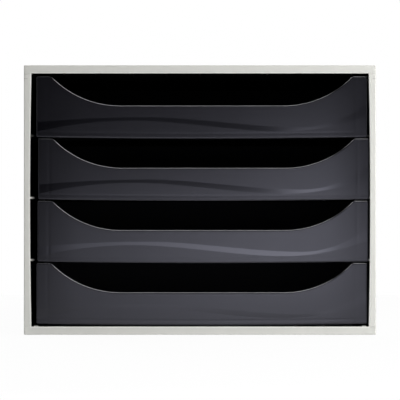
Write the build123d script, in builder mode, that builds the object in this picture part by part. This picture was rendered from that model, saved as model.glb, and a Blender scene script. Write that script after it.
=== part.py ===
from build123d import *
from math import sqrt
import os

# Desk-top letter tray stack: a moulded housing that lies wide, with four sliding drawers.
# Millimetres. X runs to the right as seen from the front, the front faces -Y, and Z is up.
# The origin is on the surface that the stack stands on, under the middle of the housing.

os.makedirs("parts", exist_ok=True)

# Housing, overall
housing_width = 355.0
housing_depth = 270.0
housing_height = 271.5
panel_height = 8.2
wall = 2.3
corner_radius = 1.5
edge_radius = 0.6

# Front and rear lips of the side panels
lip_width = 7.5
lip_bow = 1.4
lip_thickness = 3.0
rear_lip_width = 9.5
rear_lip_thickness = 2.2

# Ribs under the top and base panels
rib = 1.6
rib_cells_x = 10
rib_cells_y = 8

# Tabs that join the side panels to the top and the base
tab_count = 4
tab_length = 30.0
tab_pitch = 62.0
tab_reach = 4.0
tab_root = 6.0
tab_play = 0.1

# Back panel and the groove that holds it
back_thickness = 2.3
back_play = 0.1
back_side_play = 0.3
back_seat_depth = 5.0
groove_rib_height = 4.2
groove_rib_thickness = 2.1

# Feet, and the recesses on top that take the feet of another stack
foot_radius = 7.0
foot_height = 2.8
foot_proud = 0.8
foot_inset = 27.0
foot_play = 0.1
foot_chamfer = 0.4
foot_boss_wall = 3.0
stack_recess_depth = 0.8
stack_recess_play = 1.0

# Drawer stack, as its fronts are seen
drawer_count = 4
gap_over_base = 2.6
gap_under_top = 2.9
gap_between_fronts = 1.6
drawer_drift = (1.8, 3.6, 2.9, 1.8)
drawer_travel = 200.0

# Drawer front
front_side_gap = 10.5
front_thickness = 2.4
front_recess = 2.5
front_sag = 1.6
front_corner_radius = 1.6
front_edge_radius = 1.4
shoulder_width = 15.05
scoop_depth = 29.5
scoop_radius = 96.5
scoop_corner_radius = 5.0
rim_height = 2.2
rim_depth = 7.0
rim_edge_radius = 0.6

# Drawer tray
tray_inset = 3.0
tray_wall = 2.0
tray_floor = 2.0
tray_corner_radius = 10.0
tray_side_drop = 1.5
tray_floor_fillet = 2.5
tray_back_gap = 2.4

# Ledges and runners that the trays slide on
ledge_rise = 2.6
ledge_thickness = 2.0
ledge_width = 20.0
ledge_front_gap = 0.6
stop_height = 1.2
stop_length = 6.0
stop_gap = 0.3
stop_width = 10.0
stop_inset = 1.0
glide_length = 8.0
glide_width = 11.5
glide_inset = 0.5
runner_width = 13.0
runner_tip_height = 1.2
runner_tip_width = 4.0
runner_tip_inset = 1.0

# Levels and places that follow from the sizes above
front_y = -housing_depth / 2
rear_y = housing_depth / 2
side_x = housing_width / 2
inner_x = side_x - wall
base_low = foot_proud
base_top = base_low + panel_height
housing_top = base_low + housing_height
top_low = housing_top - panel_height
opening_height = top_low - base_top

stack_height = opening_height - gap_over_base - gap_under_top
drawer_pitch = (stack_height + gap_between_fronts) / drawer_count
front_height = drawer_pitch - gap_between_fronts
front_width = housing_width - 2 * front_side_gap
scoop_reach = sqrt(scoop_radius**2 - (scoop_radius - scoop_depth) ** 2)
scoop_flat = front_width - 2 * (shoulder_width + scoop_reach)
front_plane_y = front_y + front_recess
front_back_y = front_plane_y + front_thickness
tray_half = front_width / 2 - tray_inset

back_rear_y = rear_y - rear_lip_thickness - back_play
back_front_y = back_rear_y - back_thickness
groove_y = back_front_y - back_play
tray_rear_y = back_front_y - tray_back_gap

channel_x = inner_x - wall - tab_play
rib_field_x = channel_x - rib
skirt_y = front_y + wall
rib_field_back = groove_y - rib

ledge_inner_x = inner_x - ledge_width
ledge_front_y = front_back_y + ledge_front_gap
ledge_lip_x = side_x - lip_width + lip_bow
ledge_full_y = ledge_front_y + ledge_lip_x - ledge_inner_x
stop_front_y = ledge_full_y + stop_inset
stop_back_y = stop_front_y + stop_length
glide_front_y = stop_back_y + drawer_travel + stop_gap

foot_x = side_x - foot_inset
foot_y = housing_depth / 2 - foot_inset


def front_low(number):
    """Height of the lower edge of a drawer's front, at its two ends. Drawer 1 is the top one."""
    return base_top + gap_over_base + (drawer_count - number) * drawer_pitch


def block(x, y, z, mode=Mode.ADD):
    """A block between two places on each axis, added to or cut from the piece being made."""
    with Locations(((x[0] + x[1]) / 2, (y[0] + y[1]) / 2, (z[0] + z[1]) / 2)):
        Box(abs(x[1] - x[0]), y[1] - y[0], z[1] - z[0], mode=mode)


def rib_pockets(low, height):
    """Pockets that open downward and leave a grid of ribs under a panel's plate."""
    field_y = rib_field_back - skirt_y
    cell_x = (2 * rib_field_x - (rib_cells_x - 1) * rib) / rib_cells_x
    cell_y = (field_y - (rib_cells_y - 1) * rib) / rib_cells_y
    with BuildSketch(Plane.XY.offset(low)) as pockets:
        with Locations((0, (rib_field_back + skirt_y) / 2)):
            with GridLocations(cell_x + rib, cell_y + rib, rib_cells_x, rib_cells_y):
                Rectangle(cell_x, cell_y)
    extrude(pockets.sketch, amount=height, mode=Mode.SUBTRACT)


def side_channels(low, height):
    """Two long channels just inside the side skirts, which take the side panels' tabs."""
    for side in (-1, 1):
        across = (side * channel_x, side * inner_x)
        block(across, (skirt_y, rear_y - wall), (low, low + height), Mode.SUBTRACT)


def stop_bump(side, level):
    """A low bump on a ledge that carries the front of a tray and stops it when it is out."""
    near = ledge_inner_x + stop_inset
    far = near + stop_width
    block((side * near, side * far), (stop_front_y, stop_back_y), (level, level + stop_height))


def make_top_panel():
    """Top: a plate with a skirt all round, ribs under it and four shallow recesses on it."""
    with BuildPart() as top:
        with BuildSketch(Plane.XY.offset(top_low)):
            RectangleRounded(housing_width, housing_depth, corner_radius)
        extrude(amount=panel_height)
        fillet(top.faces().sort_by(Axis.Z)[-1].edges(), edge_radius)
        fillet(top.faces().sort_by(Axis.Z)[0].edges(), edge_radius)
        hollow = panel_height - wall
        rib_pockets(top_low, hollow)
        side_channels(top_low, hollow)
        block((-inner_x, inner_x), (groove_y, rear_y - wall), (top_low, top_low + hollow), Mode.SUBTRACT)
        with Locations(Plane.XY.offset(housing_top)):
            with GridLocations(2 * foot_x, 2 * foot_y, 2, 2):
                Hole(foot_radius + stack_recess_play, depth=stack_recess_depth)
    return top.part


def make_base_panel():
    """Base: a ribbed plate with two runners for the bottom drawer and four pockets for the feet."""
    runner_top = front_low(drawer_count) + ledge_rise
    plate_low = base_top - wall
    runner_far = ledge_inner_x + runner_width
    with BuildPart() as base:
        with BuildSketch(Plane.XY.offset(base_low)):
            RectangleRounded(housing_width, housing_depth, corner_radius)
        extrude(amount=panel_height)
        fillet(base.faces().sort_by(Axis.Z)[-1].edges(), edge_radius)
        fillet(base.faces().sort_by(Axis.Z)[0].edges(), edge_radius)
        tip_far = runner_far - runner_tip_inset
        for side in (-1, 1):
            across = (side * ledge_inner_x, side * runner_far)
            block(across, (ledge_full_y, groove_y), (base_top, runner_top))
            tip = (side * (tip_far - runner_tip_width), side * tip_far)
            block(tip, (front_y + edge_radius, ledge_full_y), (plate_low, base_top + runner_tip_height))
            stop_bump(side, runner_top)
        rib_pockets(base_low, panel_height - wall)
        side_channels(base_low, panel_height - wall)
        for side in (-1, 1):
            across = (side * (ledge_inner_x + wall), side * (runner_far - wall))
            along = (ledge_full_y + wall, groove_y - wall)
            block(across, along, (base_low, runner_top - wall), Mode.SUBTRACT)
        slot = (tab_length + 2 * tab_play) / 2
        for side in (-1, 1):
            for place in tab_places():
                across = (side * channel_x, side * inner_x)
                block(across, (place - slot, place + slot), (plate_low, base_top), Mode.SUBTRACT)
        with BuildSketch(Plane.XY.offset(base_low)):
            with GridLocations(2 * foot_x, 2 * foot_y, 2, 2):
                Circle(foot_radius + foot_boss_wall)
        extrude(amount=panel_height - wall)
        with BuildSketch(Plane.XY.offset(base_low)):
            with GridLocations(2 * foot_x, 2 * foot_y, 2, 2):
                Circle(foot_radius + foot_play)
        extrude(amount=foot_height - foot_proud, mode=Mode.SUBTRACT)
    return base.part


def tab_places():
    """Where the tabs lie along the depth of the housing."""
    first = -(tab_count - 1) * tab_pitch / 2
    return [first + number * tab_pitch for number in range(tab_count)]


def make_right_side_panel():
    """Right side: a thin plate with a bowed front lip, drawer ledges and a groove for the back."""
    middle_z = (base_top + top_low) / 2
    lip_x = side_x - lip_width
    with BuildPart() as panel:
        block((inner_x, side_x), (front_y, rear_y), (base_top, top_low))
        with BuildSketch(Plane.XZ.offset(-front_y)):
            with BuildLine():
                bow = ThreePointArc((lip_x, base_top), (lip_x + lip_bow, middle_z), (lip_x, top_low))
                Polyline(bow @ 1, (side_x, top_low), (side_x, base_top), bow @ 0)
            make_face()
        extrude(amount=-lip_thickness)
        fillet(panel.faces().sort_by(Axis.Y)[0].edges().sort_by(Axis.X)[0], edge_radius)
        block((side_x - rear_lip_width, side_x), (rear_y - rear_lip_thickness, rear_y), (base_top, top_low))
        fillet(panel.edges().filter_by(Axis.Z).group_by(Axis.X)[-1], corner_radius)
        across = (inner_x - groove_rib_height, inner_x)
        block(across, (groove_y - groove_rib_thickness, groove_y), (base_top, top_low))
        for number in range(1, drawer_count):
            ledge_top = front_low(number) + ledge_rise
            with BuildSketch(Plane.XY.offset(ledge_top - ledge_thickness)):
                with BuildLine():
                    Polyline(
                        (inner_x, ledge_front_y),
                        (ledge_lip_x, ledge_front_y),
                        (ledge_inner_x, ledge_full_y),
                        (ledge_inner_x, groove_y),
                        (inner_x, groove_y),
                        close=True,
                    )
                make_face()
            extrude(amount=ledge_thickness)
            stop_bump(1, ledge_top)
        for place in tab_places():
            along = (place - tab_length / 2, place + tab_length / 2)
            block((inner_x - wall, inner_x), along, (top_low - tab_root, top_low + tab_reach))
            block((inner_x - wall, inner_x), along, (base_top - tab_reach, base_top + tab_root))
    return panel.part


def make_left_side_panel(right):
    """Left side: the right one's mirror image."""
    with BuildPart() as panel:
        add(right)
        mirror(about=Plane.YZ, mode=Mode.REPLACE)
    return panel.part


def make_back_panel():
    """Back: a plain plate that stands on the base and reaches up into the top's rear channel."""
    half = inner_x - back_side_play
    with BuildPart() as back:
        block((-half, half), (back_front_y, back_rear_y), (base_top, top_low + back_seat_depth))
    return back.part


def make_foot(x, y):
    """Rubber pad, pressed into its pocket and standing a little proud of the base."""
    with BuildPart() as foot:
        with BuildSketch(Plane.XY):
            with Locations((x, y)):
                Circle(foot_radius)
        extrude(amount=foot_height)
        chamfer(foot.faces().sort_by(Axis.Z)[0].edges(), foot_chamfer)
    return foot.part


def make_drawer(number):
    """Drawer: a scooped front plate with a turned-in rim, on a tray that slides on the ledges."""
    low = front_low(number)
    top = low + front_height
    half = front_width / 2
    drift = drawer_drift[number - 1]
    glide_low = low + ledge_rise
    tray_low = glide_low + stop_height
    floor_top = tray_low + tray_floor
    side_top = top - tray_side_drop
    ground = Plane((drift, 0, 0))
    front = Plane((drift, front_plane_y, 0), x_dir=(1, 0, 0), z_dir=(0, -1, 0))
    with BuildPart() as drawer:
        # Front plate, with its lower edge bowed down a little and the scoop cut from its top
        with BuildSketch(front) as face:
            with BuildLine():
                bottom = ThreePointArc((-half, low), (0, low - front_sag), (half, low))
                Polyline(bottom @ 1, (half, top), (-half, top), bottom @ 0)
            make_face()
            fillet(face.vertices(), front_corner_radius)
            scoop_width = scoop_flat + 2 * scoop_radius
            with Locations((0, top - scoop_depth + scoop_width / 2)):
                RectangleRounded(scoop_width, scoop_width, scoop_radius, mode=Mode.SUBTRACT)
            fillet(face.vertices().group_by(Axis.Y)[-1].sort_by(Axis.X)[1:3], scoop_corner_radius)
        extrude(amount=-front_thickness)
        fillet(drawer.faces().sort_by(Axis.Y)[0].edges(), front_edge_radius)

        # Rim that turns in along the shoulders and the scoop
        with BuildSketch(front.offset(-front_thickness)):
            add(face.sketch_local)
            with Locations((0, -rim_height)):
                add(face.sketch_local, mode=Mode.SUBTRACT)
            with Locations((0, top)):
                Rectangle(front_width - 2 * front_corner_radius, 2 * front_height, mode=Mode.INTERSECT)
        extrude(amount=front_thickness - rim_depth)
        fillet(drawer.faces().sort_by(Axis.Y)[-1].edges(), rim_edge_radius)

        # Tray: floor, then walls that round into the front plate and into each other
        middle_y = (front_plane_y + tray_rear_y) / 2
        with BuildSketch(ground.offset(tray_low)) as plan:
            with Locations((0, middle_y)):
                RectangleRounded(2 * tray_half, tray_rear_y - front_plane_y, tray_corner_radius)
            with Locations((0, front_plane_y + front_thickness / 2)):
                Rectangle(2 * tray_half, front_thickness, mode=Mode.SUBTRACT)
        extrude(amount=tray_floor)
        inner_depth = tray_rear_y - tray_wall - front_back_y
        with BuildSketch(ground.offset(floor_top)):
            add(plan.sketch_local)
            with Locations((0, front_back_y + inner_depth / 2)):
                RectangleRounded(
                    2 * (tray_half - tray_wall),
                    inner_depth,
                    tray_corner_radius - tray_wall,
                    mode=Mode.SUBTRACT,
                )
        extrude(amount=side_top - floor_top)
        reach = tray_floor / 2
        floor = drawer.faces().filter_by_position(Axis.Z, floor_top - reach, floor_top + reach)
        fillet(floor.sort_by(SortBy.AREA)[-1].edges(), tray_floor_fillet)

        # Glides under the tray, which ride on the ledges and meet the stops when it is out
        for side in (-1, 1):
            far = drift + side * (tray_half - glide_inset)
            near = far - side * glide_width
            along = (glide_front_y, glide_front_y + glide_length)
            block((near, far), along, (glide_low, tray_low + tray_floor / 2))
    return drawer.part


def save(piece, name):
    """Name a finished piece and write it to its own file."""
    piece.label = name
    export_step(piece, f"parts/{name}.step")


right_side_panel = make_right_side_panel()
save(make_top_panel(), "top_panel")
save(make_base_panel(), "base_panel")
save(right_side_panel, "right_side_panel")
save(make_left_side_panel(right_side_panel), "left_side_panel")
save(make_back_panel(), "back_panel")
for end, y in (("front", -foot_y), ("back", foot_y)):
    save(make_foot(-foot_x, y), f"foot_{end}_left")
    save(make_foot(foot_x, y), f"foot_{end}_right")
for number in range(1, drawer_count + 1):
    save(make_drawer(number), f"drawer_{number}")
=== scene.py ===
import math

import bpy
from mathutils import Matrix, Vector


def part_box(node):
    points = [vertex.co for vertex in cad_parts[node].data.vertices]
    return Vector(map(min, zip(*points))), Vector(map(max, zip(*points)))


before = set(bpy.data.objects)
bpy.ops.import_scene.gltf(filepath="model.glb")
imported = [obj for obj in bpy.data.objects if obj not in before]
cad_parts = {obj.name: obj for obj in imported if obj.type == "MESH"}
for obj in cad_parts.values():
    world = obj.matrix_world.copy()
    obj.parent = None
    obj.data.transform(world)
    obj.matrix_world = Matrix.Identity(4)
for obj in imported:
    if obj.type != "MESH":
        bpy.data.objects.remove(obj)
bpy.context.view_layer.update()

# ---------------------------------------------------------------------------------------------
# Camera. The unit stands straight in front of a long lens at half its height, so its front is
# seen square on, with almost no perspective.
# ---------------------------------------------------------------------------------------------
MM = 0.001
housing_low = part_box("base_panel")[0]
housing_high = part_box("top_panel")[1]
mid_height = (housing_low.z + housing_high.z) / 2
camera_distance = 2.2
camera_reach = 50.0
sensor_width = 36.0
photo_width_px = 400
metres_per_px = 1.0072 * MM

lens_data = bpy.data.cameras.new("camera")
lens_data.sensor_width = sensor_width
lens_data.lens = sensor_width * camera_distance / (photo_width_px * metres_per_px)
lens_data.clip_end = camera_reach
camera = bpy.data.objects.new("camera", lens_data)
camera.location = (0.0, housing_low.y - camera_distance, mid_height)
camera.rotation_euler = (math.radians(90.0), 0.0, 0.0)
bpy.context.scene.collection.objects.link(camera)
bpy.context.scene.camera = camera
bpy.context.scene.view_settings.view_transform = "Standard"

# ---------------------------------------------------------------------------------------------
# Housing panels: top, base, two sides and back, moulded in light warm-grey polystyrene with a
# fine spark-eroded grain and pressed together with tabs. Behind the front lips their inner faces
# are painted black as shade, apart from the light tips of the ledges that carry the drawers, and
# just behind the edge of the opening they have painted dark grey shade. A painted highlight runs
# round the edge of the front opening as a lighter band.
# ---------------------------------------------------------------------------------------------
housing_grey = (0.640, 0.640, 0.595)
housing_shade = (0.626, 0.627, 0.583)
# painted highlight: a lighter band round the edge of the front opening
lip_painted_highlight = (0.70, 0.70, 0.66)
seam_shade = (0.42, 0.42, 0.39)
# painted shade on the faces just behind the edge of the front opening
recess_painted_shade = (0.14, 0.14, 0.13)
# painted shade on the inner faces behind the front lips, in colour and in reflection tint
inside_painted_shade = (0.0015, 0.0015, 0.0015)
outside_tint = (1.0, 1.0, 1.0)
inside_shade_tint = (0.05, 0.05, 0.05)
housing_roughness = (0.44, 0.56)
housing_ior = 1.5
mottle_size_mm = 45.0
mottle_range = (0.35, 0.65)
grain_size_mm = 0.55
grain_strength = 0.25
grain_depth_mm = 0.03
noise_range = (0.3, 0.7)

housing_height_mm = (housing_high.z - housing_low.z) / MM
half_width_mm = (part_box("right_side_panel")[1].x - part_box("left_side_panel")[0].x) / 2 / MM
wall_mm = 2.3
panel_height_mm = 8.2
inside_start_mm = 3.1
inside_overlap_mm = 0.2
level_overlap_mm = 0.1
lip_width_mm = 7.5
lip_bow_mm = 1.4
lip_highlight_mm = 1.0
lip_highlight_blur_mm = 0.5
seam_below_joint_mm = 5.3
seam_width_mm = 0.5
recess_shade_range_mm = (-0.5, -0.2)
front_height_mm = 61.2
ledge_middle_mm = 1.6
ledge_reach_mm = 2.2
ledge_start_mm = 5.5
ledge_light_mm = 4.0
ledge_tip_mm = 4.5
# how far each ledge's front tip is lifted out of the painted shade
ledge_tip_shade_lifts = (0.2, 1.5, 1.3)


def new_finish(name):
    """A named surface with one plastic or rubber shader, and its node tree."""
    finish = bpy.data.materials.new(name)
    finish.use_nodes = True
    return finish, finish.node_tree, finish.node_tree.nodes["Principled BSDF"]


def dress(node, finish):
    """Give a moulded piece its finish."""
    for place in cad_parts[node].material_slots:
        place.material = finish


def feed(tree, socket, given):
    """Set a socket from a number, a colour or another socket."""
    if isinstance(given, bpy.types.NodeSocket):
        tree.links.new(given, socket)
    else:
        socket.default_value = given


def calc(tree, operation, a, b=0.0):
    """One step of arithmetic on measures of the surface."""
    step = tree.nodes.new("ShaderNodeMath")
    step.operation = operation
    feed(tree, step.inputs[0], a)
    feed(tree, step.inputs[1], b)
    return step.outputs[0]


def plus(tree, a, b):
    """The sum of two measures."""
    return calc(tree, "ADD", a, b)


def minus(tree, a, b):
    """The difference of two measures."""
    return calc(tree, "SUBTRACT", a, b)


def times(tree, a, b):
    """The product of two measures."""
    return calc(tree, "MULTIPLY", a, b)


def all_of(tree, *shares):
    """The product of several shares, each 0 to 1."""
    whole = shares[0]
    for share in shares[1:]:
        whole = times(tree, whole, share)
    return whole


def fade(tree, measure, start, end, first=0.0, last=1.0, kind="SMOOTHSTEP"):
    """Goes from first to last as the measure goes from start to end, and stays there outside."""
    span = tree.nodes.new("ShaderNodeMapRange")
    span.interpolation_type = kind
    for socket, given in zip(span.inputs, (measure, start, end, first, last)):
        feed(tree, socket, given)
    return span.outputs[0]


def mixed(tree, share, first, last):
    """A number between two numbers, in even steps."""
    return fade(tree, share, 0.0, 1.0, first, last, "LINEAR")


def thin_line(tree, measure, at, width):
    """A soft line, 1 at its middle, where the measure has that value."""
    away = calc(tree, "ABSOLUTE", minus(tree, measure, at))
    return fade(tree, away, 0.0, width, 1.0, 0.0)


def bow_over(tree, away, reach, rise):
    """Height of a shallow bow: the rise in its middle, and nothing at its reach."""
    share = calc(tree, "DIVIDE", away, reach)
    return times(tree, minus(tree, 1.0, times(tree, share, share)), rise)


def blend_colour(tree, share, first, last):
    """A colour between two colours."""
    mix = tree.nodes.new("ShaderNodeMix")
    mix.data_type = "RGBA"
    feed(tree, mix.inputs[0], share)
    for socket, given in ((mix.inputs[6], first), (mix.inputs[7], last)):
        feed(tree, socket, given if isinstance(given, bpy.types.NodeSocket) else (*given, 1.0))
    return mix.outputs[2]


def measures(tree, corner):
    """Millimetres right, inward and up from a point of the piece, and that place as a vector."""
    place = tree.nodes.new("ShaderNodeTexCoord")
    shift = tree.nodes.new("ShaderNodeVectorMath")
    shift.operation = "SUBTRACT"
    shift.inputs[1].default_value = corner
    scale = tree.nodes.new("ShaderNodeVectorMath")
    scale.operation = "SCALE"
    scale.inputs["Scale"].default_value = 1 / MM
    split = tree.nodes.new("ShaderNodeSeparateXYZ")
    tree.links.new(place.outputs["Object"], shift.inputs[0])
    tree.links.new(shift.outputs[0], scale.inputs[0])
    tree.links.new(scale.outputs[0], split.inputs[0])
    return (*split.outputs, scale.outputs[0])


def speckle(tree, place, size_mm, detail=2.0):
    """A soft random pattern with marks of about that size."""
    noise = tree.nodes.new("ShaderNodeTexNoise")
    noise.inputs["Scale"].default_value = 1 / size_mm
    noise.inputs["Detail"].default_value = detail
    tree.links.new(place, noise.inputs["Vector"])
    return noise.outputs[0]


def raise_surface(tree, shader, height, strength, distance_mm):
    """Small relief from a height pattern."""
    bump = tree.nodes.new("ShaderNodeBump")
    bump.inputs["Strength"].default_value = strength
    bump.inputs["Distance"].default_value = distance_mm * MM
    tree.links.new(height, bump.inputs["Height"])
    tree.links.new(bump.outputs[0], shader.inputs["Normal"])


def ledge_tips(tree, across, inward, up):
    """Share of light on the front tips of the ledges, where the painted shade is lifted; it fades away
    from the side lips.
    """
    tips = 0.0
    for number, light in enumerate(ledge_tip_shade_lifts, start=1):
        front_low = (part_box(f"drawer_{number}")[1].z - housing_low.z) / MM - front_height_mm
        tip = thin_line(tree, up, front_low + ledge_middle_mm, ledge_reach_mm)
        tips = plus(tree, tips, times(tree, tip, light))
    lip_edge = half_width_mm - lip_width_mm + lip_bow_mm
    near_lip = fade(tree, across, lip_edge - ledge_tip_mm, lip_edge, kind="LINEAR")
    near_start = calc(tree, "LESS_THAN", inward, ledge_start_mm + ledge_light_mm)
    return all_of(tree, tips, near_lip, near_start)


def painted_shade_share(tree, across, inward, up):
    """Share of painted shade: 1 on the inner faces behind the front lips, less where a ledge has its
    light tip.
    """
    back_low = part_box("back_panel")[0]
    return all_of(
        tree,
        minus(tree, 1.0, ledge_tips(tree, across, inward, up)),
        calc(tree, "GREATER_THAN", inward, inside_start_mm),
        calc(tree, "LESS_THAN", inward, (back_low.y - housing_low.y) / MM + inside_overlap_mm),
        calc(tree, "LESS_THAN", across, half_width_mm - wall_mm + inside_overlap_mm),
        calc(tree, "GREATER_THAN", up, (back_low.z - housing_low.z) / MM - level_overlap_mm),
        calc(tree, "LESS_THAN", up, housing_height_mm - wall_mm + level_overlap_mm),
    )


def beyond_opening(tree, across, up):
    """Millimetres outward from the edge of the front opening, whose sides bow a little."""
    middle = housing_height_mm / 2
    half_opening = middle - panel_height_mm
    from_middle = minus(tree, up, middle)
    bow = bow_over(tree, from_middle, half_opening, lip_bow_mm)
    side_gap = minus(tree, minus(tree, across, half_width_mm - lip_width_mm), bow)
    level_gap = minus(tree, calc(tree, "ABSOLUTE", from_middle), half_opening)
    return calc(tree, "MAXIMUM", side_gap, level_gap)


def housing_finish():
    """Light grey outside, black painted shade on the inner faces, painted dark grey shade just behind the
    edge of the front opening, and a painted highlight as a lighter band round that edge.
    """
    finish, tree, shader = new_finish("housing_grained_grey")
    right, inward, up, place = measures(tree, (0.0, housing_low.y, housing_low.z))
    across = calc(tree, "ABSOLUTE", right)
    inside = painted_shade_share(tree, across, inward, up)
    gap = beyond_opening(tree, across, up)
    at_front = calc(tree, "LESS_THAN", inward, inside_start_mm)
    # painted highlight round the edge of the front opening
    lip = all_of(tree, fade(tree, gap, lip_highlight_mm, lip_highlight_mm + lip_highlight_blur_mm, 1.0, 0.0), at_front)
    # painted shade just behind that edge, before the inner faces turn black
    recess_shade = all_of(tree, fade(tree, gap, *recess_shade_range_mm, 1.0, 0.0), at_front)
    joint = housing_height_mm - panel_height_mm
    seam = thin_line(tree, up, joint - seam_below_joint_mm, seam_width_mm)
    on_lip = calc(tree, "GREATER_THAN", across, half_width_mm - lip_width_mm / 2)
    seam = all_of(tree, seam, at_front, on_lip)

    mottle = fade(tree, speckle(tree, place, mottle_size_mm), *mottle_range)
    grain = speckle(tree, place, grain_size_mm)
    tone = blend_colour(tree, mottle, housing_grey, housing_shade)
    tone = blend_colour(tree, lip, tone, lip_painted_highlight)
    tone = blend_colour(tree, seam, tone, seam_shade)
    tone = blend_colour(tree, recess_shade, tone, recess_painted_shade)
    # painted shade: near-black colour and a dark reflection tint on the inner faces
    feed(tree, shader.inputs["Base Color"], blend_colour(tree, inside, tone, inside_painted_shade))
    skin = fade(tree, grain, *noise_range, *housing_roughness)
    feed(tree, shader.inputs["Roughness"], mixed(tree, inside, skin, 1.0))
    feed(tree, shader.inputs["Specular Tint"], blend_colour(tree, inside, outside_tint, inside_shade_tint))
    shader.inputs["IOR"].default_value = housing_ior
    raise_surface(tree, shader, grain, grain_strength, grain_depth_mm)
    return finish


housing_plastic = housing_finish()
for panel in ("top_panel", "base_panel", "left_side_panel", "right_side_panel", "back_panel"):
    dress(panel, housing_plastic)

# ---------------------------------------------------------------------------------------------
# Feet: four soft rubber pads pressed into pockets under the base, so that the unit does not
# slide on a desk. Their skin is dull and a little dusty.
# ---------------------------------------------------------------------------------------------
rubber_dark = (0.030, 0.030, 0.031)
rubber_worn = (0.055, 0.055, 0.056)
rubber_roughness = (0.70, 0.85)
dust_size_mm = 3.0
dust_detail = 4.0
dust_strength = 0.3
dust_depth_mm = 0.05


def rubber_finish():
    """Dull dark rubber with a slightly dusty, worn face."""
    finish, tree, shader = new_finish("foot_soft_rubber")
    place = measures(tree, (0.0, 0.0, 0.0))[3]
    dust = speckle(tree, place, dust_size_mm, dust_detail)
    feed(tree, shader.inputs["Base Color"], blend_colour(tree, dust, rubber_dark, rubber_worn))
    feed(tree, shader.inputs["Roughness"], fade(tree, dust, *noise_range, *rubber_roughness))
    raise_surface(tree, shader, dust, dust_strength, dust_depth_mm)
    return finish


foot_rubber = rubber_finish()
for end in ("front", "back"):
    for side in ("left", "right"):
        dress(f"foot_{end}_{side}", foot_rubber)

# ---------------------------------------------------------------------------------------------
# Drawers: four one-piece trays moulded in smoke-black polystyrene. The fronts have a fine satin
# grain with a polished stripe that runs across them in one slow wave, and faint sink lines where
# the rim and the tray's walls meet their back. A painted highlight lines the rim of the scoop and
# the bottom edge of each front.
# ---------------------------------------------------------------------------------------------
smoke_black = (0.0012, 0.0011, 0.0017)
smoke_light = (0.0024, 0.0022, 0.0033)
# painted highlight along the bottom edge of each front
smoke_edge_highlight = (0.0240, 0.0236, 0.0290)
# painted highlight on the rim of the scoop
smoke_rim_painted_highlight = (0.4200, 0.4200, 0.4350)
tray_black = (0.0015, 0.0015, 0.0018)
reflection_tint = (0.88, 0.885, 1.0)
smoke_ior = 1.46
satin_roughness = 0.27
satin_spread = 0.003
polished_roughness = 0.12
rim_roughness = 0.17
tray_roughness = 0.85
cloud_size_mm = 28.0
cloud_detail = 1.0
satin_grain_mm = 0.6
satin_grain_height_mm = 0.002

drawer_count = 4
front_sag_mm = 1.6
scoop_flat_half_mm = 82.5
scoop_depth_mm = 29.5
scoop_radius_mm = 96.5
edge_radius_mm = 1.4
rim_depth_mm = 7.0

face_range_mm = (0.1, 0.4)
tray_blur_mm = 0.5
rim_blur_mm = 0.4
edge_highlight_start_mm = 0.2
rim_light_range_mm = (0.2, 0.6)
rim_turn_range_mm = (1.0, 1.6)
rim_dim_left = (-152.0, -147.0)
rim_dim_right = (137.0, 15.0)
rim_dim_share = 0.2

end_curve_mm = 42.0
end_curve_slope = 0.05
bead_line_mm = 2.5
bead_line_width_mm = 0.8
bead_line_depth_mm = 0.015
tray_line_across_mm = 155.5
tray_line_across_width_mm = 2.5
tray_line_up_mm = 4.8
tray_line_up_width_mm = 2.0
tray_line_depth_mm = 0.03

stripe_upper = {
    "start": (-165.0, 15.1),
    "crest": (-58.0, 20.1),
    "trough": (100.0, 9.9),
    "end": (164.0, 32.0),
}
stripe_lower = {
    "start": (-165.0, 5.9),
    "crest": (-70.0, 16.6),
    "trough": (82.0, 5.6),
    "end": (163.0, 20.0),
}
stripe_edge_mm = 0.3
stripe_fade = (105.0, 145.0)
stripe_faded_share = 0.35


def wave_edge(tree, along, start, crest, trough, end):
    """Height of the stripe's edge: up to the crest, down to the trough and up again."""
    middle = fade(tree, along, crest[0], trough[0], crest[1], trough[1])
    before = fade(tree, along, crest[0], start[0], kind="LINEAR")
    after = fade(tree, along, trough[0], end[0], kind="LINEAR")
    rise = times(tree, times(tree, before, before), start[1] - crest[1])
    climb = times(tree, times(tree, after, after), end[1] - trough[1])
    return plus(tree, plus(tree, middle, rise), climb)


def stripe_share(tree, right, up, face):
    """1 on the polished stripe, which gets fainter towards its right end."""
    over = minus(tree, up, wave_edge(tree, right, **stripe_lower))
    below = minus(tree, wave_edge(tree, right, **stripe_upper), up)
    return all_of(
        tree,
        fade(tree, over, -stripe_edge_mm, stripe_edge_mm),
        fade(tree, below, -stripe_edge_mm, stripe_edge_mm),
        fade(tree, right, *stripe_fade, 1.0, stripe_faded_share),
        face,
    )


def front_outline(tree, across, up, half_mm):
    """Millimetres inward from the front's scooped top, from its bowed bottom and from its sides."""
    beyond = calc(tree, "MAXIMUM", minus(tree, across, scoop_flat_half_mm), 0.0)
    under = minus(tree, front_height_mm - scoop_depth_mm + scoop_radius_mm, up)
    square = plus(tree, times(tree, beyond, beyond), times(tree, under, under))
    scoop = minus(tree, calc(tree, "SQRT", square), scoop_radius_mm)
    top = calc(tree, "MINIMUM", scoop, minus(tree, front_height_mm, up))
    bottom = plus(tree, up, bow_over(tree, across, half_mm, front_sag_mm))
    return top, bottom, minus(tree, half_mm, across)


def rim_light(tree, top_gap, inward, right):
    """Share of the painted highlight on the rim, dim on the left shoulder and right of the scoop."""
    right_dip = thin_line(tree, right, *rim_dim_right)
    return all_of(
        tree,
        fade(tree, top_gap, *rim_light_range_mm, 1.0, 0.0),
        fade(tree, inward, *rim_turn_range_mm, 1.0, 0.0),
        fade(tree, right, *rim_dim_left, rim_dim_share, 1.0),
        fade(tree, right_dip, 0.0, 1.0, 1.0, rim_dim_share),
    )


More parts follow.
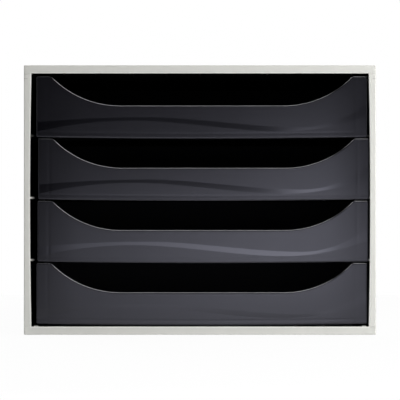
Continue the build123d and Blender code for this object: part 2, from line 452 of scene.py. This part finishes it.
def front_relief(tree, grain, stripe, across, top_gap, bottom_gap, side_gap):
    """Satin grain beside the stripe, a slight curve at both ends and the faint sink lines."""
    nearness = minus(tree, 1.0, calc(tree, "DIVIDE", side_gap, end_curve_mm))
    nearness = calc(tree, "MAXIMUM", nearness, 0.0)
    curve = times(tree, times(tree, nearness, nearness), -end_curve_slope * end_curve_mm / 2)
    bead = thin_line(tree, top_gap, bead_line_mm, bead_line_width_mm)
    walls = thin_line(tree, across, tray_line_across_mm, tray_line_across_width_mm)
    floor_line = thin_line(tree, bottom_gap, tray_line_up_mm, tray_line_up_width_mm)
    walls = calc(tree, "MAXIMUM", walls, floor_line)
    lines = plus(tree, times(tree, bead, -bead_line_depth_mm), times(tree, walls, -tray_line_depth_mm))
    satin = times(tree, grain, times(tree, minus(tree, 1.0, stripe), satin_grain_height_mm))
    return plus(tree, satin, plus(tree, curve, lines))


def drawer_finish(number):
    """Smoke-black plastic for one drawer, measured from the lower middle of its own front."""
    low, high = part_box(f"drawer_{number}")
    corner = ((low.x + high.x) / 2, low.y, high.z - front_height_mm * MM)
    finish, tree, shader = new_finish(f"drawer_{number}_smoke_black")
    right, inward, up, place = measures(tree, corner)
    across = calc(tree, "ABSOLUTE", right)
    half_mm = (high.x - low.x) / 2 / MM
    top_gap, bottom_gap, side_gap = front_outline(tree, across, up, half_mm)
    face = fade(tree, inward, *face_range_mm, 1.0, 0.0)
    front = fade(tree, inward, rim_depth_mm, rim_depth_mm + tray_blur_mm, 1.0, 0.0)
    rim = fade(tree, top_gap, edge_radius_mm, edge_radius_mm + rim_blur_mm, 1.0, 0.0)
    # painted highlight along the bottom edge of the front
    edge = fade(tree, bottom_gap, edge_highlight_start_mm, edge_radius_mm, 1.0, 0.0)
    stripe = stripe_share(tree, right, up, face)
    cloud = speckle(tree, place, cloud_size_mm, cloud_detail)
    grain = speckle(tree, place, satin_grain_mm)

    tone = blend_colour(tree, cloud, smoke_black, smoke_light)
    tone = blend_colour(tree, edge, tone, smoke_edge_highlight)
    # painted highlight: a light grey line on the rim
    tone = blend_colour(tree, rim_light(tree, top_gap, inward, right), tone, smoke_rim_painted_highlight)
    feed(tree, shader.inputs["Base Color"], blend_colour(tree, front, tray_black, tone))

    satin_limits = (satin_roughness - satin_spread, satin_roughness + satin_spread)
    satin = fade(tree, cloud, *noise_range, *satin_limits)
    rough = mixed(tree, stripe, satin, polished_roughness)
    rough = mixed(tree, rim, rough, rim_roughness)
    feed(tree, shader.inputs["Roughness"], mixed(tree, front, tray_roughness, rough))
    shader.inputs["IOR"].default_value = smoke_ior
    shader.inputs["Specular Tint"].default_value = (*reflection_tint, 1.0)

    relief = front_relief(tree, grain, stripe, across, top_gap, bottom_gap, side_gap)
    raise_surface(tree, shader, times(tree, relief, face), 1.0, 1.0)
    return finish


for number in range(1, drawer_count + 1):
    dress(f"drawer_{number}", drawer_finish(number))

# ---------------------------------------------------------------------------------------------
# Studio: a pale floor, a white background and soft lamps above, beside and behind the unit. The
# satin fronts mirror a card that stands before them, bright near the floor and dim above, with
# one brighter spot on its right. Towards that side the surroundings are dark.
# ---------------------------------------------------------------------------------------------
floor_half = 0.8
floor_pale = (0.80, 0.80, 0.80)
floor_roughness = 0.9
floor_white_share = 0.95
white = (1.0, 1.0, 1.0, 1.0)
surround_light = 0.60
front_dark = 0.04
front_direction = (0.0, -1.0, 0.0)
dark_cone_inner = math.cos(math.radians(35.0))
dark_cone_outer = math.cos(math.radians(65.0))


def flat_sheet(name, corners):
    """A four-cornered sheet that belongs to the studio."""
    mesh = bpy.data.meshes.new(name)
    mesh.from_pydata(corners, [], [(0, 1, 2, 3)])
    sheet = bpy.data.objects.new(name, mesh)
    bpy.context.scene.collection.objects.link(sheet)
    return sheet


def show_white(tree, seen, other, share, mirrored, output):
    """Shows white to the camera and to mirrored rays, by their shares, and the other look to the rest."""
    rays = tree.nodes.new("ShaderNodeLightPath")
    mix = tree.nodes.new("ShaderNodeMixShader")
    through = calc(tree, "MAXIMUM", rays.outputs["Is Glossy Ray"], rays.outputs["Is Transmission Ray"])
    through = times(tree, through, mirrored)
    direct = times(tree, rays.outputs["Is Camera Ray"], share)
    tree.links.new(calc(tree, "MAXIMUM", direct, through), mix.inputs[0])
    tree.links.new(other.outputs[0], mix.inputs[1])
    tree.links.new(seen.outputs[0], mix.inputs[2])
    tree.links.new(mix.outputs[0], output.inputs["Surface"])


floor_corners = [(x * floor_half, y * floor_half, 0.0) for x, y in ((-1, -1), (1, -1), (1, 1), (-1, 1))]
floor = flat_sheet("floor", floor_corners)
floor_finish, tree, shader = new_finish("floor_pale")
shader.inputs["Base Color"].default_value = (*floor_pale, 1.0)
shader.inputs["Roughness"].default_value = floor_roughness
glow = tree.nodes.new("ShaderNodeEmission")
show_white(tree, glow, shader, floor_white_share, floor_white_share, tree.nodes["Material Output"])
floor.data.materials.append(floor_finish)

world = bpy.data.worlds.new("studio")
bpy.context.scene.world = world
world.use_nodes = True
tree = world.node_tree
sky = tree.nodes["Background"]
sky.inputs["Color"].default_value = white
backdrop = tree.nodes.new("ShaderNodeBackground")
backdrop.inputs["Color"].default_value = white
direction = tree.nodes.new("ShaderNodeTexCoord")
facing = tree.nodes.new("ShaderNodeVectorMath")
facing.operation = "DOT_PRODUCT"
facing.inputs[1].default_value = front_direction
tree.links.new(direction.outputs["Generated"], facing.inputs[0])
turned = facing.outputs["Value"]
level = fade(tree, turned, dark_cone_outer, dark_cone_inner, surround_light, front_dark)
tree.links.new(level, sky.inputs["Strength"])
open_side = fade(tree, turned, dark_cone_outer, dark_cone_inner, 1.0, 0.0)
show_white(tree, backdrop, sky, 1.0, open_side, tree.nodes["World Output"])

card_y = -0.95
card_low, card_high = (-0.44, 0.0), (0.42, 0.40)
card_colour = (0.93, 0.93, 1.0, 1.0)
card_lower_light, card_upper_light = 5.9, 0.40
card_edge_mm = (118.0, 138.0)
card_left_mm = (-420.0, 220.0)
card_right_mm = (150.0, 260.0)
card_right_share = 0.45
card_foot_mm = 60.0
card_foot_share = 1.5
card_spot_light = 6.8
card_spot_at_mm = (158.0, 0.0, 180.0)
card_spot_reach_mm = 80.0

card_corners = [
    (card_low[0], card_y, card_low[1]),
    (card_high[0], card_y, card_low[1]),
    (card_high[0], card_y, card_high[1]),
    (card_low[0], card_y, card_high[1]),
]
card = flat_sheet("front_card", card_corners)
card.visible_camera = False
card_finish = bpy.data.materials.new("front_card_glow")
card_finish.use_nodes = True
tree = card_finish.node_tree
right, _, up, place = measures(tree, (0.0, card_y, 0.0))
light = all_of(
    tree,
    fade(tree, up, *card_edge_mm, card_lower_light, card_upper_light),
    fade(tree, right, *card_left_mm),
    fade(tree, right, *card_right_mm, 1.0, card_right_share),
    fade(tree, up, 0.0, card_foot_mm, card_foot_share, 1.0),
)
from_spot = tree.nodes.new("ShaderNodeVectorMath")
from_spot.operation = "DISTANCE"
from_spot.inputs[1].default_value = card_spot_at_mm
tree.links.new(place, from_spot.inputs[0])
spot = fade(tree, from_spot.outputs["Value"], 0.0, card_spot_reach_mm, card_spot_light, 0.0)
shine = tree.nodes.new("ShaderNodeEmission")
shine.inputs["Color"].default_value = card_colour
feed(tree, shine.inputs["Strength"], plus(tree, light, spot))
tree.links.new(shine.outputs[0], tree.nodes["Material Output"].inputs["Surface"])
card.data.materials.append(card_finish)


def soft_lamp(name, place, width, height, radiance):
    """A soft box turned to the unit, as bright as a white sheet in full light times the radiance."""
    lamp = bpy.data.lights.new(name, "AREA")
    lamp.shape = "RECTANGLE"
    lamp.size = width
    lamp.size_y = height
    lamp.energy = radiance * math.pi * width * height
    holder = bpy.data.objects.new(name, lamp)
    holder.location = place
    to_unit = Vector((0.0, 0.0, mid_height)) - Vector(place)
    holder.rotation_euler = to_unit.to_track_quat("-Z", "Y").to_euler()
    bpy.context.scene.collection.objects.link(holder)


soft_lamp("lamp_above", place=(0.65, -0.75, 1.0), width=0.8, height=0.15, radiance=15.0)
soft_lamp("lamp_right", place=(0.85, -0.55, 0.30), width=0.4, height=0.5, radiance=6.3)
soft_lamp("lamp_behind", place=(-0.8, 1.2, 1.3), width=0.8, height=0.8, radiance=3.0)
